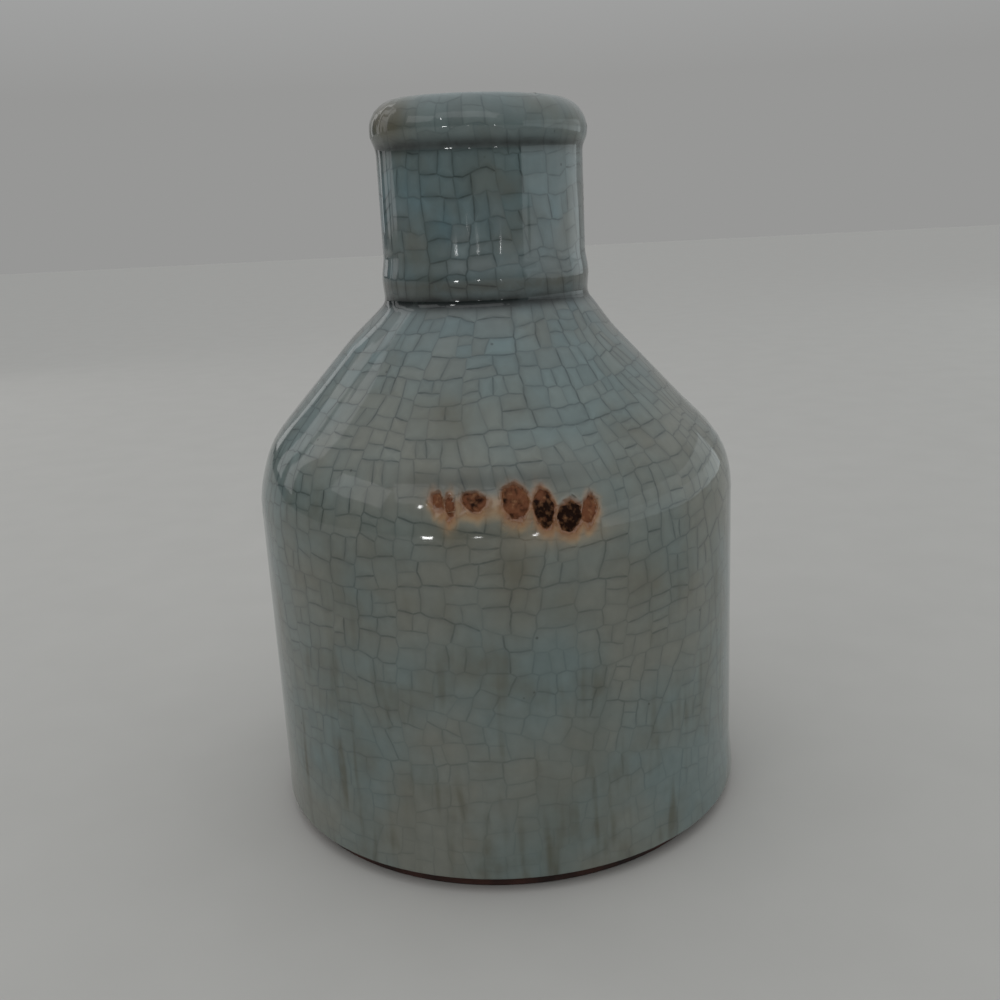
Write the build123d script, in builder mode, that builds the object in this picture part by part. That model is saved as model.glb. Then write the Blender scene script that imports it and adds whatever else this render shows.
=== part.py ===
"""Crackle-glazed bottle vase: five luted clay sections, the slip in their seams and three coats of glaze.

Millimetres, +Z up, origin on the table under the middle of the foot. Every section is drawn as half
of the pot's own cross-section, radius across and height up, and turned about the Z axis.
"""

import os
from math import acos, cos, degrees, radians, sin, sqrt, tan

from build123d import *

# Outside sizes, measured over the glaze
overall_height = 200.0
body_diameter = 136.8
turn_radius = 30.0  # rounding from the wall into the shoulder
shoulder_angle = 42.5  # lean of the shoulder cone from the vertical, degrees
neck_diameter = 56.8
neck_height = 53.0  # groove at the foot of the neck up to the top of the lip
groove_step = 0.3  # how much further out the groove lies than the neck
bead_swell = 0.7  # how far the bead at the foot of the neck stands out from the neck
bead_rise = 6.5  # groove to the fullest part of the bead
bead_fall = 6.0  # fullest part of the bead to the plain neck
rim_overhang = 1.4  # how far the rolled rim stands out from the neck
rim_height = 8.2  # fullest part of the rolled rim to the top of the lip
rim_underside = 7.2  # fullest part of the rolled rim down to the full depth of its underside
lip_inner_width = 2.2  # crest of the lip in to the straight mouth
lip_inner_drop = 3.0  # crest of the lip down to the straight mouth

# Foot
foot_inset = 2.9  # how far the bare foot is set in under the glaze
foot_height = 4.0  # bare clay between the table and the glaze
foot_chamfer = 0.8
foot_ring_width = 11.5  # ring that the vase rests on, round the shallow hollow
hollow_depth = 1.5

# Walls, seams and coats
wall = 5.0
neck_wall = 6.6  # thickened where the clay was collared in
floor_height = 9.0  # table to the top of the clay floor
seam_rise = 12.0  # start of the rounding up to the seam between the wall and the shoulder
lap = 3.0  # how deep a section's tongue stands in the one below
slip_layer = 0.4  # luting slip left in a seam
coat = 0.9  # glaze outside
liner_coat = 0.6  # glaze inside
mouth_glaze_depth = 18.0  # top of the lip down to where the outside glaze ends in the mouth
pool_radius = 1.6  # glaze pooled in the groove at the foot of the neck

# Burn marks in the glaze over the shoulder seam: distance across the front, height above the seam,
# width, height and tilt in degrees
burn_marks = [
    (-13.7, 0.8, 2.5, 3.9, 12.0),
    (-11.0, -0.4, 1.9, 4.9, -8.0),
    (-5.1, 0.6, 5.2, 4.1, -5.0),
    (4.6, 0.1, 6.1, 7.7, 0.0),
    (11.2, -1.8, 4.8, 8.8, 6.0),
    (17.1, -4.2, 5.5, 6.8, -15.0),
    (22.2, -3.4, 3.2, 6.4, -8.0),
]

body_radius = body_diameter / 2
neck_radius = neck_diameter / 2
groove_radius = neck_radius + groove_step
rim_radius = neck_radius + rim_overhang
bore_radius = neck_radius - coat - neck_wall
mouth_radius = bore_radius - coat
lip_radius = mouth_radius + lip_inner_width
foot_radius = body_radius - foot_inset
hollow_radius = foot_radius - foot_ring_width
shell = coat + wall
lean = radians(shoulder_angle)
turn_centre = body_radius - turn_radius
cone_width = turn_centre + turn_radius * cos(lean) - groove_radius
groove_height = overall_height - neck_height
turn_height = groove_height - cone_width / tan(lean) - turn_radius * sin(lean)
seam_height = turn_height + seam_rise
bead_height = groove_height + bead_rise
rim_centre_height = overall_height - rim_height
lip_inner_height = overall_height - lip_inner_drop
mouth_glaze_height = overall_height - mouth_glaze_depth
full_radius = 2 * body_radius + 2 * neck_radius
full_height = 2 * overall_height
quarter_turn = 90


def cone_height(radius, inset):
    """Height at which the shoulder cone, inset below the glaze, has this radius."""
    start = turn_centre + (turn_radius - inset) * cos(lean)
    return turn_height + (turn_radius - inset) * sin(lean) + (start - radius) / tan(lean)


def turn_reach(height, inset):
    """Radius of the rounded turn, inset below the glaze, at this height."""
    return turn_centre + sqrt((turn_radius - inset) ** 2 - (height - turn_height) ** 2)


def rim_underside_angle(inset):
    """Angle round the rolled rim, in degrees below its fullest part, at which it meets the neck."""
    return degrees(acos((neck_radius - lip_radius - inset) / (rim_radius - lip_radius - inset)))


def rim_foot(inset):
    """Height at which the underside of the rolled rim meets the neck, inset below the glaze."""
    return rim_centre_height - (rim_underside - inset) * sin(radians(rim_underside_angle(inset)))


def shoulder_line(bottom, top_radius, inset):
    """Wall, turn and shoulder cone from a bottom height up to a top radius, inset below the glaze."""
    side = body_radius - inset
    lower = Line((side, bottom), (side, turn_height))
    turn = CenterArc((turn_centre, turn_height), turn_radius - inset, 0, shoulder_angle)
    Line(turn @ 1, (top_radius, cone_height(top_radius, inset)))
    return lower @ 0


def filled_pot(inset, pool=0.0):
    """The pot filled to its axis and down the mouth, inset below the glaze; pool rounds the neck groove."""
    groove = groove_radius - inset
    groove_corner = (groove, cone_height(groove, inset))
    bead_start = (groove, groove_height + pool_radius)
    neck_side = neck_radius - inset
    roll = rim_radius - lip_radius - inset
    underside_angle = rim_underside_angle(inset)
    with BuildSketch(Plane.XZ) as half:
        with BuildLine():
            start = shoulder_line(foot_height, groove, inset)
            Line(groove_corner, bead_start)
            bead = ThreePointArc(
                bead_start,
                (neck_side + bead_swell, bead_height),
                (neck_side, bead_height + bead_fall),
            )
            Line(bead @ 1, (neck_side, rim_foot(inset)))
            rim_centre = (lip_radius, rim_centre_height)
            EllipticalCenterArc(
                rim_centre, roll, rim_underside - inset, -underside_angle, arc_size=underside_angle
            )
            EllipticalCenterArc(rim_centre, roll, rim_height - inset, 0, arc_size=quarter_turn)
            lip_width = lip_radius - mouth_radius - inset
            lip_centre = (lip_radius, lip_inner_height)
            lip_drop = lip_inner_drop - inset
            lip = EllipticalCenterArc(
                lip_centre, lip_width, lip_drop, quarter_turn, arc_size=quarter_turn
            )
            mouth = Line(lip @ 1, ((lip @ 1).X, mouth_glaze_height))
            Polyline(mouth @ 1, (0, mouth_glaze_height), (0, foot_height), start)
        make_face()
        if pool:
            corner = half.vertices().sort_by_distance(groove_corner)[0]
            fillet(corner, radius=pool)
    return half.sketch_local


def cavity(inset):
    """The space inside the clay, inset by a liner."""
    bore = bore_radius - inset
    floor = floor_height + inset
    with BuildSketch(Plane.XZ) as half:
        with BuildLine():
            start = shoulder_line(floor, bore, shell + inset)
            Polyline(
                (bore, cone_height(bore, shell + inset)),
                (bore, overall_height),
                (0, overall_height),
                (0, floor),
                start,
            )
        make_face()
    return half.sketch_local


def above(seam, lift):
    """All that lies above a lapped seam, lifted by the slip that fills it."""
    inner_height, outer_height, split_radius = seam
    side = lift if inner_height > outer_height else -lift
    with BuildSketch(Plane.XZ) as half:
        with BuildLine():
            Polyline(
                (0, inner_height + lift),
                (split_radius + side, inner_height + lift),
                (split_radius + side, outer_height + lift),
                (full_radius, outer_height + lift),
                (full_radius, full_height),
                (0, full_height),
                close=True,
            )
        make_face()
    return half.sketch_local


# Seams: height inside, height outside and the radius of the step between them
wall_inside = body_radius - shell
base_seam = (floor_height, foot_height, wall_inside - slip_layer)
seam_middle = seam_height - lap / 2
shoulder_split = (turn_reach(seam_middle, coat) + turn_reach(seam_middle, shell)) / 2
shoulder_seam = (seam_height - lap, seam_height, shoulder_split)
neck_seat = cone_height(groove_radius - coat, coat)
neck_seam = (neck_seat - lap, neck_seat, (groove_radius - coat + bore_radius) / 2)
rim_seat = rim_foot(coat)
rim_seam = (rim_seat - lap, rim_seat, (neck_radius - coat + bore_radius) / 2)
seams = [base_seam, shoulder_seam, neck_seam, rim_seam]

# The whole of the clay in half section: the pot under its glaze, the foot disc and the space inside
with BuildSketch(Plane.XZ) as clay:
    add(filled_pot(coat))
    with BuildLine():
        Polyline(
            (0, hollow_depth),
            (hollow_radius, hollow_depth),
            (hollow_radius + hollow_depth, 0),
            (foot_radius - foot_chamfer, 0),
            (foot_radius, foot_chamfer),
            (foot_radius, foot_height),
            (0, foot_height),
            close=True,
        )
    make_face()
    add(cavity(0), mode=Mode.SUBTRACT)
clay_half = clay.sketch_local

os.makedirs("parts", exist_ok=True)

# Base: a slab with a bare foot, a shallow hollow below and a raised floor that plugs the wall
with BuildPart() as base:
    with BuildSketch(Plane.XZ):
        add(clay_half)
        add(above(base_seam, 0), mode=Mode.SUBTRACT)
    revolve(axis=Axis.Z)
base.part.label = "base"
export_step(base.part, "parts/base.step")

# Body wall: the thrown cylinder, rebated inside its top edge for the shoulder's tongue
with BuildPart() as body_wall:
    with BuildSketch(Plane.XZ):
        add(clay_half)
        add(above(base_seam, slip_layer), mode=Mode.INTERSECT)
        add(above(shoulder_seam, 0), mode=Mode.SUBTRACT)
    revolve(axis=Axis.Z)
body_wall.part.label = "body_wall"
export_step(body_wall.part, "parts/body_wall.step")

# Shoulder: the domed cone, with a tongue below and a bored seat for the neck
with BuildPart() as shoulder:
    with BuildSketch(Plane.XZ):
        add(clay_half)
        add(above(shoulder_seam, slip_layer), mode=Mode.INTERSECT)
        add(above(neck_seam, 0), mode=Mode.SUBTRACT)
    revolve(axis=Axis.Z)
shoulder.part.label = "shoulder"
export_step(shoulder.part, "parts/shoulder.step")

# Neck: a short straight tube with a bead at its foot
with BuildPart() as neck:
    with BuildSketch(Plane.XZ):
        add(clay_half)
        add(above(neck_seam, slip_layer), mode=Mode.INTERSECT)
        add(above(rim_seam, 0), mode=Mode.SUBTRACT)
    revolve(axis=Axis.Z)
neck.part.label = "neck"
export_step(neck.part, "parts/neck.step")

# Rim: the rolled coil that makes the lip
with BuildPart() as rim:
    with BuildSketch(Plane.XZ):
        add(clay_half)
        add(above(rim_seam, slip_layer), mode=Mode.INTERSECT)
    revolve(axis=Axis.Z)
rim.part.label = "rim"
export_step(rim.part, "parts/rim.step")

# Joint slip: one thin stepped ring of luting clay in each seam
with BuildPart() as joint_slip:
    with BuildSketch(Plane.XZ):
        for seam in seams:
            with BuildSketch(mode=Mode.PRIVATE) as ring:
                add(clay_half)
                add(above(seam, 0), mode=Mode.INTERSECT)
                add(above(seam, slip_layer), mode=Mode.SUBTRACT)
            add(ring.sketch_local)
    revolve(axis=Axis.Z)
joint_slip.part.label = "joint_slip"
export_step(joint_slip.part, "parts/joint_slip.step")


def burn_columns():
    """Columns through the front of the glaze, one for each burn mark."""
    with BuildPart() as columns:
        with BuildSketch(Plane.XZ.offset(turn_centre)):
            for across, above_seam, width, height, tilt in burn_marks:
                with Locations(Location((across, seam_height + above_seam), tilt)):
                    Ellipse(width / 2, height / 2)
        extrude(amount=turn_radius + coat)
    return columns.part


with BuildSketch(Plane.XZ) as glaze_half:
    add(filled_pot(0, pool_radius))
    add(filled_pot(coat), mode=Mode.SUBTRACT)

# Outer glaze: one glassy skin from the foot line over the lip, broken through at the burn marks
with BuildPart() as outer_glaze:
    with BuildSketch(Plane.XZ):
        add(glaze_half.sketch_local)
    revolve(axis=Axis.Z)
    add(burn_columns(), mode=Mode.SUBTRACT)
outer_glaze.part.label = "outer_glaze"
export_step(outer_glaze.part, "parts/outer_glaze.step")

# Iron spots: rusty slag that fills the breaks in the glaze
with BuildPart() as iron_spots:
    with BuildSketch(Plane.XZ):
        add(glaze_half.sketch_local)
    revolve(axis=Axis.Z)
    add(burn_columns(), mode=Mode.INTERSECT)
iron_spots.part.label = "iron_spots"
export_step(iron_spots.part, "parts/iron_spots.step")

# Liner glaze: the coat inside that makes the clay hold water
with BuildPart() as liner_glaze:
    with BuildSketch(Plane.XZ):
        add(cavity(0))
        add(cavity(liner_coat), mode=Mode.SUBTRACT)
        with Locations((0, mouth_glaze_height)):
            Rectangle(full_radius, full_height, align=(Align.MIN, Align.MIN), mode=Mode.SUBTRACT)
    revolve(axis=Axis.Z)
liner_glaze.part.label = "liner_glaze"
export_step(liner_glaze.part, "parts/liner_glaze.step")
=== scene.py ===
"""Looks of the crackle-glazed bottle vase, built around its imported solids.

Metres, +Z up, the front towards -Y. The glaze skin is drawn flat, with the way round the pot across and
the way up its profile upwards. It is cut into craze cells there and then wrapped round the pot.
"""

import math
import random

import bmesh
import bpy
import numpy as np
from mathutils import Euler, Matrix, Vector, noise


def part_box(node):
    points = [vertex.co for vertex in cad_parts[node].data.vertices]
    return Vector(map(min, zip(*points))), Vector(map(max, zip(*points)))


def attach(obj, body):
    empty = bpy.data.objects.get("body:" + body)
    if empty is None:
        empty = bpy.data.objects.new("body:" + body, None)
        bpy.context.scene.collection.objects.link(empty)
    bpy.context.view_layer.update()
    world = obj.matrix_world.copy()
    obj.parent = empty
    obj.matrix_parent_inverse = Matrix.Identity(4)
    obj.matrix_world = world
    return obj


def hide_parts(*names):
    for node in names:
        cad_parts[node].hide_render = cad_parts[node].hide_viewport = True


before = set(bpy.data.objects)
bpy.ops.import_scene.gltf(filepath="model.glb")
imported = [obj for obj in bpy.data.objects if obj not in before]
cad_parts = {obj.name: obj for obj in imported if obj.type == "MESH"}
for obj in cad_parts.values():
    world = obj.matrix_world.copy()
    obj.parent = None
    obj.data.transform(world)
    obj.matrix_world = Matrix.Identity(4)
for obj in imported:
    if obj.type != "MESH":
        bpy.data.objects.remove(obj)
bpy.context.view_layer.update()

mm = 0.001
body = "root"
weld = 0.002 * mm

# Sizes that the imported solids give
glaze_low, glaze_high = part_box("outer_glaze")
body_radius = glaze_high.x
overall_height = glaze_high.z
foot_line = glaze_low.z
coat = body_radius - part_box("body_wall")[1].x
rim_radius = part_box("rim")[1].x + coat
mouth_glaze_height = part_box("liner_glaze")[1].z
seam_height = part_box("body_wall")[1].z

# Curves of the profile between those, as the solids draw them
turn_radius = 30 * mm
shoulder_lean = math.radians(42.5)
neck_height = 53 * mm
groove_step = 0.3 * mm
bead_swell = 0.7 * mm
bead_rise = 6.5 * mm
bead_fall = 6 * mm
rim_height = 8.2 * mm
rim_underside = 7.2 * mm
lip_radius = 22.2 * mm
lip_width = 2.2 * mm
lip_drop = 3 * mm
neck_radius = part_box("neck")[1].x + coat - bead_swell
groove_radius = neck_radius + groove_step
groove_height = overall_height - neck_height
bead_height = groove_height + bead_rise
turn_centre = body_radius - turn_radius
cone_width = turn_centre + turn_radius * math.cos(shoulder_lean) - groove_radius
turn_height = groove_height - cone_width / math.tan(shoulder_lean) - turn_radius * math.sin(shoulder_lean)
mouth_radius = lip_radius - lip_width
rim_centre_height = overall_height - rim_height
rim_groove_height = 187.2 * mm
lip_inner_height = overall_height - lip_drop
path_step = 0.2 * mm

# Burn marks over the shoulder seam: across the front, above the seam, width, height, tilt in degrees and
# how black the slag is at the top and at the bottom
burn_marks = [
    (-13.7, 0.8, 2.5, 3.9, 12, 0.1, -0.3),
    (-11.0, -0.4, 1.9, 4.9, -8, 0.2, -0.3),
    (-5.1, 0.6, 5.4, 4.1, -5, 0.7, 0.0),
    (4.6, 0.1, 6.1, 7.7, 0, 0.5, 0.1),
    (11.2, -1.8, 4.8, 8.8, 6, 0.3, 1.5),
    (17.1, -4.2, 5.8, 7.2, -15, 1.3, 1.6),
    (21.9, -3.2, 3.4, 6.2, -8, 0.3, 0.0),
]

# Distance noted where no burn mark is near
no_burn = 20 * mm

# Seed of every random draw behind the craze lines
craze_seed = 9

# How the hand-finished pot strays from the true one
shoulder_drift = -1.6 * mm
rim_sink = -0.35 * mm
rim_slope = -0.9 * mm
foot_spread = 0.8 * mm
out_of_round = 0.16 * mm


def ease(value, start, end):
    """Smooth step from 0 at start to 1 at end, which may lie the other way round."""
    part = np.clip((value - start) / (end - start), 0, 1)
    return part * part * (3 - 2 * part)


def hump(value, centre, reach, power=2):
    """Smooth hump that is 1 at its centre and fades out over its reach, flatter on top at a higher power."""
    return np.exp(-(((value - centre) / reach) ** power))


def arc(centre, across, up, start, end):
    """Points along an ellipse in the half section, from one angle in degrees to another."""
    angles = np.radians(np.linspace(start, end, 60))
    return np.column_stack((centre[0] + across * np.cos(angles), centre[1] + up * np.sin(angles)))


def skin_path():
    """Radius and height of the glaze surface in even steps, from under the foot line into the mouth."""
    roll = rim_radius - lip_radius
    underside = math.degrees(math.acos((neck_radius - lip_radius) / roll))
    rim_foot = rim_centre_height - rim_underside * math.sin(math.radians(underside))
    up_neck = np.linspace(groove_height, rim_foot, 120)
    bead_side = np.where(up_neck < bead_height, bead_rise, bead_fall)
    bead = np.cos(np.pi / 2 * np.clip((up_neck - bead_height) / bead_side, -1, 1)) ** 2
    step = groove_step * ease(up_neck, bead_height, groove_height)
    corners = [
        [(body_radius - coat, foot_line), (body_radius, foot_line)],
        arc((turn_centre, turn_height), turn_radius, turn_radius, 0, math.degrees(shoulder_lean)),
        np.column_stack((neck_radius + step + bead_swell * bead, up_neck)),
        arc((lip_radius, rim_centre_height), roll, rim_underside, -underside, 0),
        arc((lip_radius, rim_centre_height), roll, rim_height, 0, 90),
        arc((lip_radius, lip_inner_height), lip_width, lip_drop, 90, 180),
        [(mouth_radius, mouth_glaze_height), (mouth_radius + coat, mouth_glaze_height)],
    ]
    points = softened(even_steps(np.vstack(corners))[0], 0.5 * mm)
    for groove in ((groove_radius, groove_height), (neck_radius, rim_foot)):
        near = np.exp(-((np.hypot(*(points - groove).T) / (2.6 * mm)) ** 2))[:, None]
        points = points * (1 - near) + softened(points, 1.5 * mm) * near
    return even_steps(points)


def even_steps(points):
    """The same path in even steps, and how far along it each step is."""
    run = np.concatenate(([0], np.cumsum(np.hypot(*np.diff(points, axis=0).T))))
    places = np.linspace(0, run[-1], round(run[-1] / path_step))
    return np.column_stack([np.interp(places, run, column) for column in points.T]), places


def softened(points, reach):
    """The path with its corners rounded, as glaze rounds them, its ends kept."""
    steps = round(2 * reach / path_step)
    share = np.exp(-((np.arange(-steps, steps + 1) * path_step / reach) ** 2))
    padded = np.pad(points, ((steps, steps), (0, 0)), mode="edge")
    share /= share.sum()
    rounded = np.column_stack([np.convolve(column, share, mode="valid") for column in padded.T])
    rounded[[0, -1]] = points[[0, -1]]
    return rounded


path, path_run = skin_path()
path_length = path_run[-1]
path_slope = np.gradient(path, path_run, axis=0)
path_slope /= np.hypot(*path_slope.T)[:, None]
half_round = math.pi * body_radius
climb = path[: np.argmax(path[:, 1])]


def run_at(height):
    """How far up the profile the outside of the pot reaches this height."""
    return np.interp(height, climb[:, 1], path_run[: len(climb)])


def slimness(run):
    """Radius of the pot over the body's radius at this run up the profile."""
    return np.interp(run, path_run, path[:, 0]) / body_radius


def thrown(points):
    """Points of the true pot, moved as the hand-finished one leans."""
    x, y, z = points.T
    above_turn = ease(z, turn_height + 8 * mm, turn_height + 25 * mm)
    shoulder = above_turn * ease(z, groove_height, groove_height - 11 * mm)
    top = ease(z, overall_height - 22 * mm, overall_height - 8 * mm)
    foot = ease(z, foot_line + 14 * mm, foot_line) * ease(z, 0, foot_line)
    angle = np.arctan2(x, -y)
    swell = out_of_round * np.sin(2 * angle + 0.7) * ease(z, foot_line, 3 * foot_line)
    size = np.maximum(np.hypot(x, y), weld)
    moved = np.column_stack((x * (1 + swell / size), y * (1 + swell / size), z))
    moved[:, 0] += shoulder_drift * shoulder + foot_spread * foot * np.clip(x / body_radius, 0, 1)
    moved[:, 2] += top * (rim_sink + rim_slope * x / rim_radius)
    return moved


def on_skin(around, run, lift):
    """Points of the pot at these places on the flat skin, lifted off its surface."""
    angle = around / body_radius
    radius = np.interp(run, path_run, path[:, 0])
    height = np.interp(run, path_run, path[:, 1])
    out = np.interp(run, path_run, path_slope[:, 1])
    up = -np.interp(run, path_run, path_slope[:, 0])
    radius = radius + out * lift
    return thrown(np.column_stack((radius * np.sin(angle), -radius * np.cos(angle), height + up * lift)))


def fray(across, above):
    """How far the ragged edge of a burn strays from its oval, by place on the front."""
    x, z = across / mm, above / mm
    slow = 0.16 * np.sin(1.3 * x + 0.7 * z) + 0.14 * np.sin(1.9 * z - 0.9 * x + 1)
    quick = 0.11 * np.sin(2.9 * x - 1.3 * z + 2) + 0.09 * np.sin(1.7 * x + 3.1 * z + 4)
    return (slow + quick) * mm


def burn_gap(around, run):
    """Distance on the skin from the ragged edge of the nearest burn mark, less than nothing inside it."""
    across = slimness(run) * body_radius * np.sin(around / body_radius)
    above = np.interp(run, path_run, path[:, 1]) - seam_height
    gap = np.full(len(across), no_burn)
    front = np.cos(around / body_radius) > 0
    for x, z, width, height, tilt, *_ in burn_marks:
        turn = math.radians(tilt)
        along = (across - x * mm) * math.cos(turn) + (above - z * mm) * math.sin(turn)
        rise = (above - z * mm) * math.cos(turn) - (across - x * mm) * math.sin(turn)
        ring = np.hypot(along / (width * mm / 2), rise / (height * mm / 2))
        gap = np.where(front, np.minimum(gap, (ring - 1) * math.sqrt(width * height) / 2 * mm), gap)
    return gap + np.where(gap < 8 * mm, fray(across, above), 0)


def craze(sheet, draw):
    """Cut the flat sheet into craze cells, each crack across the longer way of the cell that it halves."""
    age = sheet.edges.layers.float.new("age")
    shoulder_start = run_at(turn_height + 6 * mm)
    neck_start = run_at(groove_height)
    bmesh.ops.bisect_plane(
        sheet,
        geom=[*sheet.faces, *sheet.edges, *sheet.verts],
        dist=weld,
        plane_co=(0, neck_start, 0),
        plane_no=(0, 1, 0),
    )
    uncut = list(sheet.faces)
    while uncut:
        cell = uncut.pop()
        middle = cell.calc_center_median_weighted()
        slim = float(slimness(middle.y))
        size, swing = (36, 6) if middle.y < shoulder_start else (29, 4) if middle.y < neck_start else (29, 3)
        area = cell.calc_area() * slim
        if area < size * mm * mm * draw.uniform(0.8, 1.9):
            continue
        early = area > 2000 * mm * mm and middle.y < neck_start
        corners = np.array([(vert.co.x * slim, vert.co.y) for vert in cell.verts])
        sides = np.roll(corners, -1, axis=0) - corners
        turns = np.arctan2(sides[:, 1], sides[:, 0])
        along = np.ptp(corners @ np.array((np.cos(turns), np.sin(turns))), axis=0)
        across = np.ptp(corners @ np.array((-np.sin(turns), np.cos(turns))), axis=0)
        snug = np.argmin(along * across)
        longer = along[snug] > across[snug] * draw.uniform(0.85, 1.18)
        skew = math.radians(draw.gauss(0, 6 if early else swing))
        turn = turns[snug] + (0 if longer else math.pi / 2) + skew
        shift = max(along[snug], across[snug]) * draw.uniform(-0.12, 0.12) * (2 if early else 1)
        cut = bmesh.ops.bisect_plane(
            sheet,
            geom=[cell, *cell.edges, *cell.verts],
            dist=weld,
            plane_co=middle + Vector((math.cos(turn) * shift / slim, math.sin(turn) * shift, 0)),
            plane_no=(math.cos(turn) * slim, math.sin(turn), 0),
        )
        cracks = [part for part in cut["geom_cut"] if isinstance(part, bmesh.types.BMEdge)]
        for crack in cracks:
            crack[age] = draw.uniform(0.3, 1)
            uncut.extend(crack.link_faces)


def share_points(one, other, axis):
    """Split the edges of two borders so that both have points at the same places along an axis."""
    places = [{vert.co[axis] for edge in border for vert in edge.verts} for border in (other, one)]
    for border, wanted in zip((one, other), places):
        for place in sorted(wanted):
            for edge in border:
                start, end = edge.verts
                part = (place - start.co[axis]) / (end.co[axis] - start.co[axis])
                if 0.0001 < part < 0.9999:
                    border.append(bmesh.utils.edge_split(edge, start, part)[0])
                    break


def border_edges(sheet, axis, place):
    """Border edges that lie at one place on an axis of the flat sheet."""
    edges = [edge for edge in sheet.edges if edge.is_boundary]
    return [edge for edge in edges if all(abs(vert.co[axis] - place) < weld for vert in edge.verts)]


def inside_ends(run):
    """Nothing at the two ends of the flat skin, which stay in line, and 1 away from them."""
    return float(ease(run, 0, 10 * mm) * ease(run, path_length, path_length - 10 * mm))


def meander(sheet, draw):
    """Let the crack up the back, where the two sides of the flat sheet meet, wander as the others do."""
    age = sheet.edges.layers.float["age"]
    sides = [border_edges(sheet, 0, place) for place in (-half_round, half_round)]
    lines = [sorted(edges, key=lambda edge: edge.verts[0].co.y + edge.verts[1].co.y) for edges in sides]
    for pair in zip(*lines):
        strength = draw.uniform(0.3, 1)
        for crack in pair:
            crack[age] = strength
    for vert in sheet.verts:
        slim = float(slimness(vert.co.y))
        near = float(ease((half_round - abs(vert.co.x)) * slim, 14 * mm, 0))
        wander = 3.6 * mm * noise.noise(Vector((0, 0, vert.co.y / (6 * mm))))
        vert.co.x += wander * near * inside_ends(vert.co.y) / slim


def loosen(sheet, draw):
    """Bend the straight cracks a little and round the cells where the glaze crazed more freely."""
    free = [vert for vert in sheet.verts if not vert.is_boundary]
    zone_ends = (path_length, run_at(groove_height), run_at(turn_height + 8 * mm))
    for factor, zone_end in zip((0.06, 0.05, 0.05), zone_ends):
        zone = [vert for vert in free if vert.co.y < zone_end]
        bmesh.ops.smooth_vert(sheet, verts=zone, factor=factor, use_axis_x=True, use_axis_y=True)
    inner = [edge for edge in sheet.edges if not edge.is_boundary]
    bent = bmesh.ops.bisect_edges(sheet, edges=inner, cuts=1)["geom_split"]
    for vert in (part for part in bent if isinstance(part, bmesh.types.BMVert)):
        first, last = [edge.other_vert(vert).co for edge in vert.link_edges]
        along = last - first
        vert.co += Vector((-along.y, along.x, 0)) * draw.uniform(-0.05, 0.05)
    free = [vert for vert in sheet.verts if not vert.is_boundary]
    rounder = [vert for vert in free if noise.noise(Vector((vert.co.x, vert.co.y, 0)) / (45 * mm)) > 0.05]
    bmesh.ops.smooth_vert(sheet, verts=rounder, factor=0.14, use_axis_x=True, use_axis_y=True)
    for vert in sheet.verts:
        angle = vert.co.x / body_radius
        place = Vector((math.sin(angle), math.cos(angle), vert.co.y / body_radius)) * 2.6
        stray = noise.noise_vector(place) * 3 * mm
        vert.co += Vector((stray.x / float(slimness(vert.co.y)), stray.y, 0)) * inside_ends(vert.co.y)


def cell_values(sheet, draw):
    """Fan each cell out from its middle and note how far its surface lies from the crack round it."""
    age = sheet.edges.layers.float["age"]
    tone = sheet.faces.layers.float.new("cell_tone")
    hue = sheet.faces.layers.float.new("cell_hue")
    strength = sheet.faces.layers.float.new("crack_age")
    gap = sheet.loops.layers.float.new("crack_gap")
    for cell in sheet.faces:
        cell[tone] = draw.uniform(-1, 1)
        cell[hue] = draw.uniform(-1, 1)
    fans = bmesh.ops.poke(sheet, faces=sheet.faces[:], center_mode="MEAN_WEIGHTED")
    middles = set(fans["verts"])
    for fan in fans["faces"]:
        hub = next(loop for loop in fan.loops if loop.vert in middles)
        rim = hub.link_loop_next.edge
        slim = float(slimness(hub.vert.co.y))
        first, last, middle = (
            Vector((vert.co.x * slim, vert.co.y)) for vert in (*rim.verts, hub.vert)
        )
        along = last - first
        hub[gap] = abs(along.cross(middle - first)) / max(along.length, weld) / mm
        outer_end = rim.is_boundary and abs(along.y) < weld
        fan[strength] = 0 if outer_end else max(rim[age], 0.3)


def refine(sheet, wanted, longest):
    """Halve the edges of the flat sheet that are too long for the curves there."""
    edges = []
    for edge in sheet.edges:
        middle = (edge.verts[0].co + edge.verts[1].co) / 2
        along = edge.verts[0].co - edge.verts[1].co
        length = math.hypot(along.x * float(slimness(middle.y)), along.y)
        if length > longest and wanted(middle):
            edges.append(edge)
    bmesh.ops.subdivide_edges(sheet, edges=edges, cuts=1)


def near_burns(reach):
    """Test for places on the flat skin within reach of the row of burn marks."""
    row = run_at(seam_height)
    return lambda place: (
        abs(place.x - 4 * mm) < 20 * mm + reach and abs(place.y - row + 2 * mm) < 6 * mm + reach
    )


def add(tree, kind, inputs=None, out=0, **settings):
    """Add a shader node, set it up, fill its inputs with values or sockets and give one of its outputs."""
    made = tree.nodes.new("ShaderNode" + kind)
    for name, value in settings.items():
        setattr(made, name, value)
    for name, value in (inputs or {}).items():
        if isinstance(value, bpy.types.NodeSocket):
            tree.links.new(value, made.inputs[name])
        else:
            made.inputs[name].default_value = value
    return made.outputs[out] if made.outputs else made


def paint(hex_colour):
    """Linear colour of an sRGB hex value."""
    parts = [int(hex_colour[place : place + 2], 16) / 255 for place in (1, 3, 5)]
    linear = [part / 12.92 if part <= 0.04045 else ((part + 0.055) / 1.055) ** 2.4 for part in parts]
    return (*linear, 1.0)


def new_material(name):
    """An empty material and its node tree."""
    made = bpy.data.materials.new(name)
    made.use_nodes = True
    made.node_tree.nodes.clear()
    return made, made.node_tree


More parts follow.
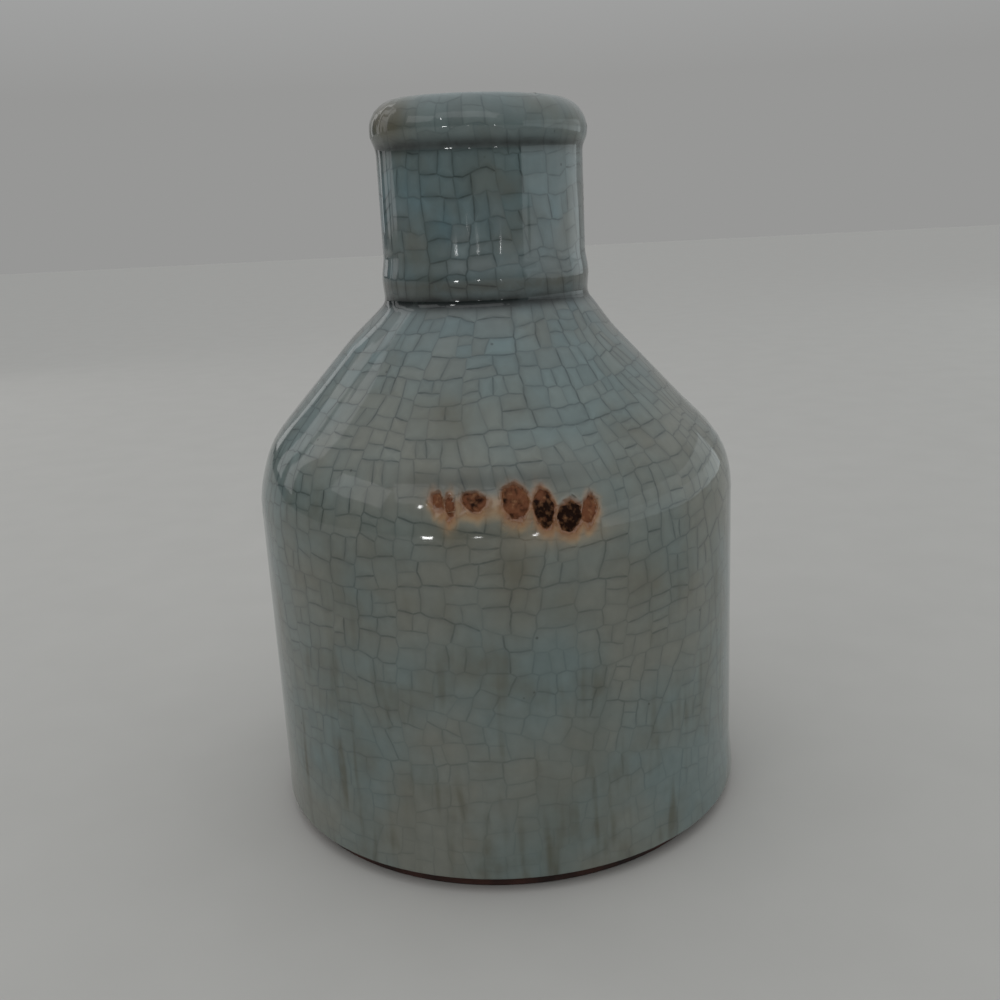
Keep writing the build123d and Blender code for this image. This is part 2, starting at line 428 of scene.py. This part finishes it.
def crackle_glaze():
    """Celadon crackle glaze: a glossy grey-green glass, crazed all over, with stain in the cracks, brown
    where iron bled through, dark where it pooled and with painted shade in the grooves, under the rim and
    under the bead, and burnt away to cream and rust at the seam."""
    made, tree = new_material("celadon_crackle_glaze")
    place = add(tree, "TexCoord", out="Object")
    gap = add(tree, "Attribute", attribute_name="crack_gap", out="Fac")
    age = add(tree, "Attribute", attribute_name="crack_age", out="Fac")
    tone = add(tree, "Attribute", attribute_name="cell_tone", out="Fac")
    hue = add(tree, "Attribute", attribute_name="cell_hue", out="Fac")
    pool_and_shade = add(tree, "Attribute", attribute_name="pool_and_shade", out="Fac")
    stain = add(tree, "Attribute", attribute_name="stain", out="Fac")
    burn = add(tree, "Attribute", attribute_name="burn_gap", out="Fac")
    scorch = add(tree, "Attribute", attribute_name="scorch", out="Fac")
    height = add(tree, "SeparateXYZ", {0: place}, out=2)
    clouds = add(tree, "TexNoise", {"Vector": place, "Scale": 1 / (38 * mm), "Detail": 3.0})
    patches = add(tree, "TexNoise", {"Vector": place, "Scale": 1 / (17 * mm), "Detail": 4.0})
    mottle = add(tree, "TexNoise", {"Vector": place, "Scale": 1 / (4 * mm), "Detail": 3.0})
    grain = add(tree, "TexNoise", {"Vector": place, "Scale": 1 / (1.6 * mm), "Detail": 3.0})
    run_width, run_length = 3.3 * mm, 24 * mm
    run_scale = (1 / run_width, 1 / run_width, 1 / run_length)
    stretched = add(tree, "Mapping", {"Vector": place, "Scale": run_scale})
    runs = add(tree, "TexNoise", {"Vector": stretched, "Scale": 1.0, "Detail": 1.0})

    # The glass itself: paler and greyer on the body, bluer up the neck, in clouds and from cell to cell
    cloud = add(tree, "MapRange", {"Value": clouds, "From Min": 0.38, "From Max": 0.64})
    patchwork = add(
        tree, "MapRange", {"Value": height, "From Min": 95 * mm, "From Max": 140 * mm, "To Min": 0.35}
    )
    own_hue = add(tree, "Math", {0: hue, 1: patchwork}, operation="MULTIPLY")
    own_tone = add(tree, "Math", {0: tone, 1: patchwork}, operation="MULTIPLY")
    shifted = add(tree, "Math", {0: own_hue, 1: 0.24, 2: cloud}, operation="MULTIPLY_ADD", use_clamp=True)
    pale = add(tree, "Mix", {0: shifted, 6: paint("#7c7e75"), 7: paint("#717f7d")}, out=2, data_type="RGBA")
    blue = add(tree, "Mix", {0: shifted, 6: paint("#788180"), 7: paint("#698085")}, out=2, data_type="RGBA")
    upper = add(tree, "MapRange", {"Value": height, "From Min": 126 * mm, "From Max": 157 * mm})
    glass = add(tree, "Mix", {0: upper, 6: pale, 7: blue}, out=2, data_type="RGBA")
    worn = add(
        tree, "MapRange", {"Value": height, "From Min": 172 * mm, "From Max": 192 * mm, "To Max": 0.7}
    )
    glass = add(tree, "Mix", {0: worn, 6: glass, 7: paint("#727b77")}, out=2, data_type="RGBA")
    light = add(tree, "Math", {0: mottle, 1: 0.3, 2: 0.85}, operation="MULTIPLY_ADD")
    light = add(tree, "Math", {0: own_tone, 1: 0.09, 2: light}, operation="MULTIPLY_ADD")
    glass = add(tree, "Mix", {0: 1.0, 6: glass, 7: light}, out=2, data_type="RGBA", blend_type="MULTIPLY")

    # Iron stain in patches, heavier where it is noted on the skin and in runs near the foot
    low = add(tree, "MapRange", {"Value": height, "From Min": 95 * mm, "From Max": 25 * mm})
    run_mask = add(
        tree,
        "MapRange",
        {"Value": runs, "From Min": 0.5, "From Max": 0.78, "To Max": 0.62},
        interpolation_type="SMOOTHSTEP",
    )
    run_mask = add(tree, "Math", {0: run_mask, 1: low}, operation="MULTIPLY")
    clusters = add(tree, "MapRange", {"Value": patches, "From Min": 0.4, "From Max": 0.6, "To Min": 0.15})
    run_mask = add(tree, "Math", {0: run_mask, 1: clusters}, operation="MULTIPLY")
    patch = add(tree, "MapRange", {"Value": patches, "From Min": 0.5, "From Max": 0.78, "To Max": 0.5})
    brown = add(tree, "Math", {0: patch, 1: stain}, operation="ADD", use_clamp=True)
    glass = add(tree, "Mix", {0: brown, 6: glass, 7: paint("#65604f")}, out=2, data_type="RGBA")
    glass = add(tree, "Mix", {0: run_mask, 6: glass, 7: paint("#524e3b")}, out=2, data_type="RGBA")

    # Cracks: a dark line with a soft edge, broken in places, and a stain that has seeped in beside it
    ragged = add(tree, "Math", {0: grain, 1: -0.3, 2: 0.15}, operation="MULTIPLY_ADD")
    ragged = add(tree, "Math", {0: gap, 1: ragged}, operation="ADD")
    line = add(
        tree,
        "MapRange",
        {"Value": ragged, "From Min": 0.02, "From Max": 0.38, "To Min": 1.0, "To Max": 0.0},
        interpolation_type="SMOOTHSTEP",
    )
    faded = add(
        tree, "MapRange", {"Value": mottle, "From Min": 0.3, "From Max": 0.62, "To Min": 0.2, "To Max": 0.74}
    )
    clear = add(
        tree, "MapRange", {"Value": height, "From Min": 15 * mm, "From Max": 112 * mm, "To Min": 0.26}
    )
    dim = add(
        tree,
        "MapRange",
        {"Value": height, "From Min": 184 * mm, "From Max": 190 * mm, "To Min": 1.0, "To Max": 0.5},
    )
    clear = add(tree, "Math", {0: clear, 1: dim}, operation="MULTIPLY")
    line = add(tree, "Math", {0: line, 1: age}, operation="MULTIPLY")
    line = add(tree, "Math", {0: line, 1: faded}, operation="MULTIPLY")
    line = add(tree, "Math", {0: line, 1: clear}, operation="MULTIPLY")
    crack_colour = add(
        tree, "Mix", {0: brown, 6: paint("#2f3a3a"), 7: paint("#3a352c")}, out=2, data_type="RGBA"
    )
    seep = add(
        tree,
        "MapRange",
        {"Value": gap, "From Min": 0.0, "From Max": 1.7, "To Min": 0.26, "To Max": 0.0},
        interpolation_type="SMOOTHSTEP",
    )
    seep = add(tree, "Math", {0: seep, 1: age}, operation="MULTIPLY")
    seep = add(tree, "Math", {0: seep, 1: clear}, operation="MULTIPLY")
    cracked = add(tree, "Mix", {0: seep, 6: glass, 7: crack_colour}, out=2, data_type="RGBA")
    cracked = add(tree, "Mix", {0: line, 6: cracked, 7: crack_colour}, out=2, data_type="RGBA")
    pinholes = add(tree, "TexVoronoi", {"Vector": place, "Scale": 1 / (11 * mm)}, out="Distance")
    pinholes = add(tree, "MapRange", {"Value": pinholes, "From Min": 0.045, "From Max": 0.02, "To Max": 0.5})
    cracked = add(tree, "Mix", {0: pinholes, 6: cracked, 7: paint("#2c2a26")}, out=2, data_type="RGBA")

    # Glaze pooled thick in the grooves, with painted shade in the grooves, under the rim and under the bead
    # carried by the same mask
    uneven = add(tree, "Math", {0: mottle, 1: 0.9, 2: 0.6}, operation="MULTIPLY_ADD")
    deep = add(tree, "Math", {0: pool_and_shade, 1: uneven}, operation="MULTIPLY", use_clamp=True)
    pooled = add(tree, "Mix", {0: deep, 6: cracked, 7: paint("#1f2423")}, out=2, data_type="RGBA")

    # Burnt edge of the breaks: cream glaze thinned by heat, rust next to the slag
    singe = add(tree, "Math", {0: mottle, 1: 1.1, 2: 0.4}, operation="MULTIPLY_ADD")
    singe = add(tree, "Math", {0: scorch, 1: singe}, operation="MULTIPLY", use_clamp=True)
    frayed = add(tree, "Math", {0: grain, 1: 0.8, 2: -0.4}, operation="MULTIPLY_ADD")
    frayed = add(tree, "Math", {0: burn, 1: frayed}, operation="ADD")
    rust = add(tree, "MapRange", {"Value": frayed, "From Min": 0.85, "From Max": -0.3})
    pale = add(tree, "MapRange", {"Value": burn, "From Min": 0.2, "From Max": 2.8})
    cream = add(tree, "Mix", {0: pale, 6: paint("#9b6f4d"), 7: paint("#af9675")}, out=2, data_type="RGBA")
    burnt = add(tree, "Mix", {0: singe, 6: pooled, 7: cream}, out=2, data_type="RGBA")
    burnt = add(tree, "Mix", {0: rust, 6: burnt, 7: paint("#74492e")}, out=2, data_type="RGBA")

    # Slow swells and a fine orange peel that make reflections waver
    swells = add(tree, "TexNoise", {"Vector": place, "Scale": 1 / (16 * mm), "Detail": 1.0})
    peel = add(tree, "TexNoise", {"Vector": place, "Scale": 1 / (3 * mm), "Detail": 1.0})
    relief = add(tree, "Math", {0: peel, 1: 0.06, 2: swells}, operation="MULTIPLY_ADD")
    flat = add(tree, "VectorMath", {0: place, 1: (1, 1, 0)}, operation="MULTIPLY")
    compass = add(tree, "VectorMath", {0: flat}, operation="NORMALIZE")
    upright = add(tree, "VectorMath", {0: place, 1: (0, 0, 1 / (60 * mm))}, operation="MULTIPLY")
    turned = add(tree, "VectorMath", {0: compass, 1: (4.6, 4.6, 0), 2: upright}, operation="MULTIPLY_ADD")
    facets = add(tree, "TexNoise", {"Vector": turned, "Scale": 1.0, "Detail": 1.5})
    relief = add(tree, "Math", {0: facets, 1: 5.0, 2: relief}, operation="MULTIPLY_ADD")
    bump = add(tree, "Bump", {"Height": relief, "Strength": 1.0, "Distance": 0.09 * mm})
    rough = add(
        tree,
        "MapRange",
        {"Value": patches, "From Min": 0.3, "From Max": 0.7, "To Min": 0.045, "To Max": 0.08},
    )
    surface = add(
        tree,
        "BsdfPrincipled",
        {"Base Color": burnt, "Roughness": rough, "IOR": 1.52, "Normal": bump},
    )
    add(tree, "OutputMaterial", {"Surface": surface})
    return made


def iron_slag():
    """Burnt iron slag: a pitted, half-glassy crust, rust red where thin and near black where it pooled."""
    made, tree = new_material("iron_slag")
    place = add(tree, "TexCoord", out="Object")
    black = add(tree, "Attribute", attribute_name="blackness", out="Fac")
    lumps = add(tree, "TexNoise", {"Vector": place, "Scale": 1 / (1.5 * mm), "Detail": 5.0})
    pits = add(tree, "TexVoronoi", {"Vector": place, "Scale": 1 / (0.9 * mm)}, out="Distance")
    blots = add(tree, "TexNoise", {"Vector": place, "Scale": 1 / (2.2 * mm), "Detail": 3.0})
    spread = add(tree, "Math", {0: blots, 1: 3.4, 2: -1.7}, operation="MULTIPLY_ADD")
    spread = add(tree, "Math", {0: black, 1: spread}, operation="ADD")
    dark = add(tree, "MapRange", {"Value": spread, "To Max": 0.97}, interpolation_type="SMOOTHSTEP")
    colour = add(tree, "Mix", {0: dark, 6: paint("#764a33"), 7: paint("#150500")}, out=2, data_type="RGBA")
    flecks = add(tree, "MapRange", {"Value": lumps, "From Min": 0.58, "From Max": 0.72, "To Max": 0.6})
    bare = add(tree, "Math", {0: 1.0, 1: dark}, operation="SUBTRACT")
    flecks = add(tree, "Math", {0: flecks, 1: bare}, operation="MULTIPLY")
    colour = add(tree, "Mix", {0: flecks, 6: colour, 7: paint("#a67c5c")}, out=2, data_type="RGBA")
    thin = add(tree, "Attribute", attribute_name="thin_edge", out="Fac")
    ragged = add(tree, "Math", {0: lumps, 1: 2.4, 2: -1.2}, operation="MULTIPLY_ADD")
    thin = add(tree, "Math", {0: thin, 1: ragged}, operation="ADD", use_clamp=True)
    colour = add(tree, "Mix", {0: thin, 6: colour, 7: paint("#8f6546")}, out=2, data_type="RGBA")
    relief = add(tree, "Math", {0: pits, 1: lumps}, operation="ADD")
    bump = add(tree, "Bump", {"Height": relief, "Strength": 0.7, "Distance": 0.12 * mm})
    surface = add(
        tree,
        "BsdfPrincipled",
        {"Base Color": colour, "Roughness": 0.5, "Specular IOR Level": 0.08, "Normal": bump},
    )
    add(tree, "OutputMaterial", {"Surface": surface})
    return made


def red_clay(name, pale, dark):
    """Fired red earthenware, trimmed and left bare: matte, gritty and scorched in patches."""
    made, tree = new_material(name)
    place = add(tree, "TexCoord", out="Object")
    patches = add(tree, "TexNoise", {"Vector": place, "Scale": 1 / (9 * mm), "Detail": 5.0})
    grit = add(tree, "TexVoronoi", {"Vector": place, "Scale": 1 / (0.7 * mm)}, out="Distance")
    scorched = add(tree, "MapRange", {"Value": patches, "From Min": 0.35, "From Max": 0.68})
    colour = add(tree, "Mix", {0: scorched, 6: paint(pale), 7: paint(dark)}, out=2, data_type="RGBA")
    relief = add(tree, "Math", {0: grit, 1: 0.4, 2: patches}, operation="MULTIPLY_ADD")
    bump = add(tree, "Bump", {"Height": relief, "Strength": 0.6, "Distance": 0.2 * mm})
    surface = add(tree, "BsdfPrincipled", {"Base Color": colour, "Roughness": 0.85, "Normal": bump})
    add(tree, "OutputMaterial", {"Surface": surface})
    return made


def liner_glaze():
    """Thin glaze poured inside: grey-green, glossy, crazed finely and browned where it ran thin."""
    made, tree = new_material("poured_liner_glaze")
    place = add(tree, "TexCoord", out="Object")
    clouds = add(tree, "TexNoise", {"Vector": place, "Scale": 1 / (24 * mm), "Detail": 4.0})
    craze_lines = add(
        tree,
        "TexVoronoi",
        {"Vector": place, "Scale": 1 / (6 * mm)},
        feature="DISTANCE_TO_EDGE",
    )
    line = add(
        tree,
        "MapRange",
        {"Value": craze_lines, "From Min": 0.02, "From Max": 0.07, "To Min": 0.6, "To Max": 0.0},
    )
    thin = add(tree, "MapRange", {"Value": clouds, "From Min": 0.45, "From Max": 0.72})
    glass = add(tree, "Mix", {0: thin, 6: paint("#525d58"), 7: paint("#5a5145")}, out=2, data_type="RGBA")
    colour = add(tree, "Mix", {0: line, 6: glass, 7: paint("#2e3534")}, out=2, data_type="RGBA")
    bump = add(tree, "Bump", {"Height": clouds, "Strength": 1.0, "Distance": 0.15 * mm})
    surface = add(
        tree, "BsdfPrincipled", {"Base Color": colour, "Roughness": 0.16, "IOR": 1.5, "Normal": bump}
    )
    add(tree, "OutputMaterial", {"Surface": surface})
    return made


def pale_floor():
    """Pale matte board under the vase, with a faint fibre."""
    made, tree = new_material("pale_board")
    place = add(tree, "TexCoord", out="Object")
    fibre = add(tree, "TexNoise", {"Vector": place, "Scale": 1 / (30 * mm), "Detail": 6.0})
    colour = add(tree, "Mix", {0: fibre, 6: paint("#bfbcb7"), 7: paint("#c6c3be")}, out=2, data_type="RGBA")
    surface = add(tree, "BsdfPrincipled", {"Base Color": colour, "Roughness": 0.9})
    add(tree, "OutputMaterial", {"Surface": surface})
    return made


def new_piece(name, mesh_data, material):
    """Object at the origin from a finished bmesh, smooth but for its sharp edges."""
    mesh = bpy.data.meshes.new(name)
    mesh_data.to_mesh(mesh)
    mesh_data.free()
    mesh.shade_smooth()
    mesh.materials.append(material)
    piece = bpy.data.objects.new(name, mesh)
    bpy.context.scene.collection.objects.link(piece)
    return piece


# Stains noted on the skin: across the front, height, half width, half height in millimetres and strength
stains = [
    (-9, 122, 9, 5, 0.5),
    (-11, 96, 7, 4, 0.45),
    (3, 84, 5, 12, 0.4),
    (36, 80, 6, 7, 0.4),
    (-2, 62, 3, 8, 0.35),
    (20, 40, 6, 14, 0.3),
    (-27, 24, 3, 10, 0.3),
    (12, 24, 9, 14, 0.3),
    (-25, 194, 8, 7, 0.8),
    (1, 178, 9, 7, 0.4),
    (-17, 150, 6, 5, 0.4),
]


def skin_notes(around, run, lift):
    """Values that the glaze carries point by point: pooled glaze and painted shade in the grooves and under
    the rim and bead, iron stain and distance from a burn.
    """
    angle = around / body_radius
    radius = slimness(run) * body_radius
    height = np.interp(run, path_run, path[:, 1])
    outside = (run < run_at(overall_height)) & (lift > -coat / 2)
    # Painted shade: the groove bands are darkest at the front left, away from the lit wall, and paler at the
    # back right, where the wall shines in them.
    shaded_side = 0.8 + 0.2 * np.cos(angle + 0.5)
    # Dark bands in the neck groove and under the rim: glaze pooled there, and painted shade in these
    # hollows.
    neck_groove = hump(run, run_at(groove_height + 0.7 * mm), 2.5 * mm) * shaded_side
    rim_groove = hump(run, run_at(rim_groove_height), 1.7 * mm) * shaded_side
    # Painted shade on the underside of the bead, which faces down.
    shade_under_bead = 0.36 * hump(run, run_at(bead_height - 2.5 * mm), 4 * mm)
    bead_edge = hump(run, run_at(groove_height + 5 * mm), 1.4 * mm)
    stain = 0.45 * bead_edge * outside
    front = outside & (np.cos(angle) > 0)
    across = radius * np.sin(angle)
    above = height - seam_height
    over_burns = hump(above, 4.8 * mm, 2.4 * mm) * hump(across, 0, 21 * mm, 4) * front
    # One dark mask for pooled glaze and painted shade; the band above the burns is thicker glaze.
    pool_and_shade = np.max((neck_groove, 0.82 * rim_groove, shade_under_bead, 0.4 * over_burns), axis=0) * outside
    for place, up, wide, tall, strength in stains:
        far = np.hypot((across - place * mm) / (wide * mm), (height - up * mm) / (tall * mm))
        stain = np.maximum(stain, strength * np.exp(-(far**2)) * front)
    gap = np.where(outside, burn_gap(around, run), no_burn)
    band = hump(above, -0.9 * mm, 2.7 * mm, 4) * hump(across, -4 * mm, 11 * mm, 4)
    below = np.exp(-np.hypot((across - 16 * mm) / (10 * mm), (above + 8 * mm) / (3 * mm)) ** 2)
    sagged = np.where(outside, burn_gap(around, run + 1.4 * mm), no_burn)
    round_burn = hump(np.maximum(sagged, 0), 0, 1.5 * mm)
    scorch = np.maximum(round_burn, np.maximum(0.95 * band, 0.5 * below) * front)
    return {"pool_and_shade": pool_and_shade, "stain": stain, "burn_gap": gap / mm, "scorch": scorch}


def crater(around, run):
    """How far the glaze is lifted at the rolled edge of a burn and sunk inside it."""
    gap = burn_gap(around, run)
    edge = hump(gap, 0.6 * mm, 0.5 * mm)
    return 0.28 * mm * edge - 0.7 * mm * ease(gap, 0.25 * mm, -0.6 * mm)


def glaze_skin(material):
    """The outer glaze, from under the foot line over the lip and into the mouth."""
    draw = random.Random(craze_seed)
    noise.seed_set(craze_seed)
    sheet = bmesh.new()
    corners = ((-half_round, 0), (half_round, 0), (half_round, path_length), (-half_round, path_length))
    sheet.faces.new([sheet.verts.new((x, y, 0)) for x, y in corners])
    craze(sheet, draw)
    share_points(border_edges(sheet, 0, -half_round), border_edges(sheet, 0, half_round), 1)
    meander(sheet, draw)
    loosen(sheet, draw)
    cell_values(sheet, draw)
    turn_start = run_at(turn_height)
    neck_start = run_at(groove_height - 4 * mm)
    refine(sheet, lambda place: place.y > turn_start or near_burns(8 * mm)(place), 2.6 * mm)
    refine(sheet, lambda place: place.y > neck_start or near_burns(6 * mm)(place), 1.4 * mm)
    refine(sheet, near_burns(3 * mm), 0.8 * mm)
    refine(sheet, near_burns(1.5 * mm), 0.45 * mm)

    rows = [0.45 * mm, 0.9 * mm, 1.35 * mm, 2.2 * mm]
    for groove in (run_at(groove_height), run_at(rim_groove_height)):
        rows += [groove + step * 0.7 * mm for step in range(-3, 4)]
    for row in rows:
        everything = [*sheet.verts, *sheet.edges, *sheet.faces]
        bmesh.ops.bisect_plane(sheet, geom=everything, dist=weld, plane_co=(0, row, 0), plane_no=(0, 1, 0))

    # The back of the skin, where it grips the clay
    lift = sheet.verts.layers.float.new("lift")
    back_start, back_end = 1.3 * mm, path_length - 1.3 * mm
    back = bmesh.ops.create_grid(sheet, x_segments=96, y_segments=64, size=1)["verts"]
    for vert in back:
        vert[lift] = -coat
        vert.co.x *= half_round
        vert.co.y = back_start + (vert.co.y + 1) / 2 * (back_end - back_start)
    for front_end, far_end in ((0, back_start), (path_length, back_end)):
        near = border_edges(sheet, 1, front_end)
        far = border_edges(sheet, 1, far_end)
        share_points(near, far, 0)
        bmesh.ops.bridge_loops(sheet, edges=near + far)

    # The flat layout serves as the map of the skin, and the skin is then wrapped round the pot
    layout = sheet.loops.layers.uv.new("OFBake")
    for face in sheet.faces:
        hidden = any(vert[lift] < 0 for vert in face.verts)
        for loop in face.loops:
            rise = loop.vert.co.y / path_length
            round_share = 0.48 * loop.vert.co.x / half_round + 0.5
            loop[layout].uv = (round_share, 0.94 + 0.06 * rise if hidden else 0.92 * rise)
    sheet.verts.ensure_lookup_table()
    flat = np.array([(vert.co.x, vert.co.y, vert[lift]) for vert in sheet.verts])
    around, run, depth = flat.T

    def wrapped(around, run):
        return on_skin(around, run, depth + np.where(depth < 0, 0, crater(around, run)))

    nudge = 0.05 * mm
    places = wrapped(around, run)
    way_round = wrapped(around + nudge, run) - wrapped(around - nudge, run)
    higher = wrapped(around, np.minimum(run + nudge, path_length))
    way_up = higher - wrapped(around, np.maximum(run - nudge, 0))
    facing = np.cross(way_round, way_up)
    facing /= np.linalg.norm(facing, axis=1)[:, None]
    facing[depth < 0] *= -1
    notes = skin_notes(around, run, depth)
    normal = sheet.verts.layers.float_vector.new("facing")
    layers = {name: sheet.verts.layers.float.new(name) for name in notes}
    for index, vert in enumerate(sheet.verts):
        vert.co = places[index]
        vert[normal] = facing[index]
        for name, layer in layers.items():
            vert[layer] = notes[name][index]
    bmesh.ops.remove_doubles(sheet, verts=sheet.verts, dist=weld)
    bmesh.ops.recalc_face_normals(sheet, faces=sheet.faces)
    piece = new_piece("crackle_glaze_skin", sheet, material)
    mesh = piece.data
    directions = np.empty(len(mesh.vertices) * 3)
    mesh.attributes["facing"].data.foreach_get("vector", directions)
    mesh.attributes.remove(mesh.attributes["facing"])
    mesh.normals_split_custom_set_from_vertices(directions.reshape(-1, 3))
    return piece


def slag_crust(material):
    """Crusts of slag that fill the breaks in the glaze, lumpy and ragged at the edge."""
    crust = bmesh.new()
    black = crust.verts.layers.float.new("blackness")
    thin = crust.verts.layers.float.new("thin_edge")
    for across, above, width, height, tilt, top_black, bottom_black in burn_marks:
        ball = bmesh.ops.create_icosphere(crust, subdivisions=4, radius=1)["verts"]
        turn = math.radians(tilt)
        for vert in ball:
            lump = noise.noise(Vector((vert.co.x * width, vert.co.y * height, across)) * 0.45)
            fine = noise.noise(Vector((vert.co.x * width, vert.co.y * height, across)) * 1.3)
            along, rise = vert.co.x * width / 2 * mm, vert.co.y * height / 2 * mm
            x = along * math.cos(turn) - rise * math.sin(turn)
            z = along * math.sin(turn) + rise * math.cos(turn)
            stray = float(fray(across * mm + x, above * mm + z))
            ragged = 1.1 - stray / (math.sqrt(width * height) / 2 * mm)
            x = across * mm + x * ragged
            z = seam_height + above * mm + z * ragged
            run = float(run_at(z))
            around = body_radius * math.asin(x / (body_radius * float(slimness(run))))
            lift = -0.45 * mm + vert.co.z * 0.4 * mm + (0.3 * lump + 0.2 * fine) * mm * max(vert.co.z, 0)
            vert[thin] = max(0, 1 - vert.co.z / 0.65)
            vert[black] = bottom_black + (top_black - bottom_black) * (vert.co.y + 1) / 2
            vert.co = on_skin(np.array([around]), np.array([run]), np.array([lift]))[0]
    bmesh.ops.recalc_face_normals(crust, faces=crust.faces)
    return new_piece("slag_crust", crust, material)


def leaning_copy(node, material):
    """A section of the pot under the glaze, moved as the glaze over it is."""
    copy = bmesh.new()
    copy.from_mesh(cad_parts[node].data)
    bmesh.ops.remove_doubles(copy, verts=copy.verts, dist=weld)
    places = thrown(np.array([vert.co for vert in copy.verts]))
    for vert, place in zip(copy.verts, places):
        vert.co = place
    piece = new_piece("thrown_" + node, copy, material)
    piece.data.set_sharp_from_angle(angle=math.radians(35))
    return piece


# Painted shade: the bare red clay is given darker than it is, to stand in for the shade under the glaze edge
# at the foot.
clay = red_clay("red_earthenware_darkened_for_shade", "#45281f", "#241713")
slip = red_clay("luting_slip", "#573024", "#2b1b15")
liner = liner_glaze()
slots = {"body_wall": "red_clay", "shoulder": "red_clay", "neck": "red_clay", "rim": "red_clay"}
finishes = {"red_clay": clay, "slip": slip, "liner_glaze": liner}
for node, slot in {**slots, "joint_slip": "slip", "liner_glaze": "liner_glaze"}.items():
    section = leaning_copy(node, finishes[slot])
    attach(section, body)
    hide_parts(node)

skin = glaze_skin(crackle_glaze())
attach(skin, body)
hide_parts("outer_glaze")

crusts = slag_crust(iron_slag())
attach(crusts, body)
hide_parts("iron_spots")

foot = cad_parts["base"]
for slot in foot.material_slots:
    slot.material = clay

# Stage: a pale board, a soft sky and the lamps
floor_mesh = bmesh.new()
bmesh.ops.create_grid(floor_mesh, x_segments=1, y_segments=1, size=4)
floor = new_piece("floor", floor_mesh, pale_floor())


wall_azimuth = math.radians(128.5)


def soft_sky():
    """Soft surroundings: a pale wall behind and at the right, a darker room in front, brighter overhead."""
    world = bpy.data.worlds.new("soft_sky")
    bpy.context.scene.world = world
    world.use_nodes = True
    tree = world.node_tree
    tree.nodes.clear()
    direction = add(tree, "TexCoord", out="Generated")
    up = add(tree, "SeparateXYZ", {0: direction}, out=2)
    overhead = add(tree, "MapRange", {"Value": up, "From Min": 0.1, "From Max": 0.9})
    level = add(tree, "VectorMath", {0: direction, 1: (1, 1, 0)}, operation="MULTIPLY")
    level = add(tree, "VectorMath", {0: level}, operation="NORMALIZE")
    wall = (math.sin(wall_azimuth), -math.cos(wall_azimuth), 0)
    toward = add(tree, "VectorMath", {0: level, 1: wall}, out="Value", operation="DOT_PRODUCT")
    lit = add(tree, "MapRange", {"Value": toward, "From Min": 0.12, "From Max": 0.18})
    sides = add(tree, "Mix", {0: lit, 6: paint("#484b4c"), 7: paint("#979796")}, out=2, data_type="RGBA")
    colour = add(tree, "Mix", {0: overhead, 6: sides, 7: paint("#e2e6e9")}, out=2, data_type="RGBA")
    light = add(tree, "Background", {"Color": colour, "Strength": 1.0})
    add(tree, "OutputWorld", {"Surface": light})


def panel(name, azimuth, elevation, distance, width, height, watts, colour="#ffffff"):
    """A soft lamp that faces the vase from an azimuth, 0 in front and 90 at the right, and an elevation."""
    lamp = bpy.data.lights.new(name, "AREA")
    lamp.shape = "RECTANGLE"
    lamp.size = width
    lamp.size_y = height
    lamp.energy = watts
    lamp.color = paint(colour)[:3]
    holder = bpy.data.objects.new(name, lamp)
    turn, rise = math.radians(azimuth), math.radians(elevation)
    away = Vector((math.sin(turn) * math.cos(rise), -math.cos(turn) * math.cos(rise), math.sin(rise)))
    holder.location = Vector((0, 0, overall_height / 2)) + away * distance
    holder.rotation_euler = away.to_track_quat("Z", "Y").to_euler()
    holder.visible_camera = False
    bpy.context.scene.collection.objects.link(holder)


soft_sky()
panel("right_window", 92, 2.6, 1.2, 2.4, 0.26, 1.3, "#e6f3f6")
panel("right_upper", 92, 14.3, 1.2, 2.4, 0.22, 0.66, "#e6f3f6")
panel("left_fill", -70, 26, 1.4, 0.7, 0.4, 0.6)
panel("left_window", -115.5, 22, 1.1, 0.16, 0.8, 0.23)
panel("left_pane", -128, 22, 1.1, 0.14, 0.8, 0.17)
panel("left_far", -145, 22, 1.1, 0.1, 0.8, 0.15)
panel("front_soft", -15, 38, 1.5, 1.8, 0.5, 1.6)
panel("far_lamp", -38, 24, 1.6, 0.05, 0.06, 0.25)
panel("lamp_left", -32, -1, 1.6, 0.12, 0.045, 0.5)
panel("lamp_middle", -10, 0, 1.6, 0.04, 0.03, 0.07)
panel("lamp_right", 16.5, -1, 1.6, 0.05, 0.04, 0.13)

# Camera where the photograph was taken from
camera_data = bpy.data.cameras.new("camera")
camera_data.sensor_width = 36
camera_data.lens = 39.1
camera = bpy.data.objects.new("camera", camera_data)
camera.location = (0, -312.8 * mm, 172.3 * mm)
yaw, pitch, tilt = math.radians(0.18), math.radians(15.26), math.radians(-2.85)
aim = Euler((0, 0, -yaw)).to_matrix() @ Euler((math.pi / 2 - pitch, 0, 0)).to_matrix()
camera.rotation_euler = (aim @ Euler((0, 0, tilt)).to_matrix()).to_euler()
camera_data.clip_start = 10 * mm
bpy.context.scene.collection.objects.link(camera)
bpy.context.scene.camera = camera
bpy.context.scene.view_settings.view_transform = "Standard"
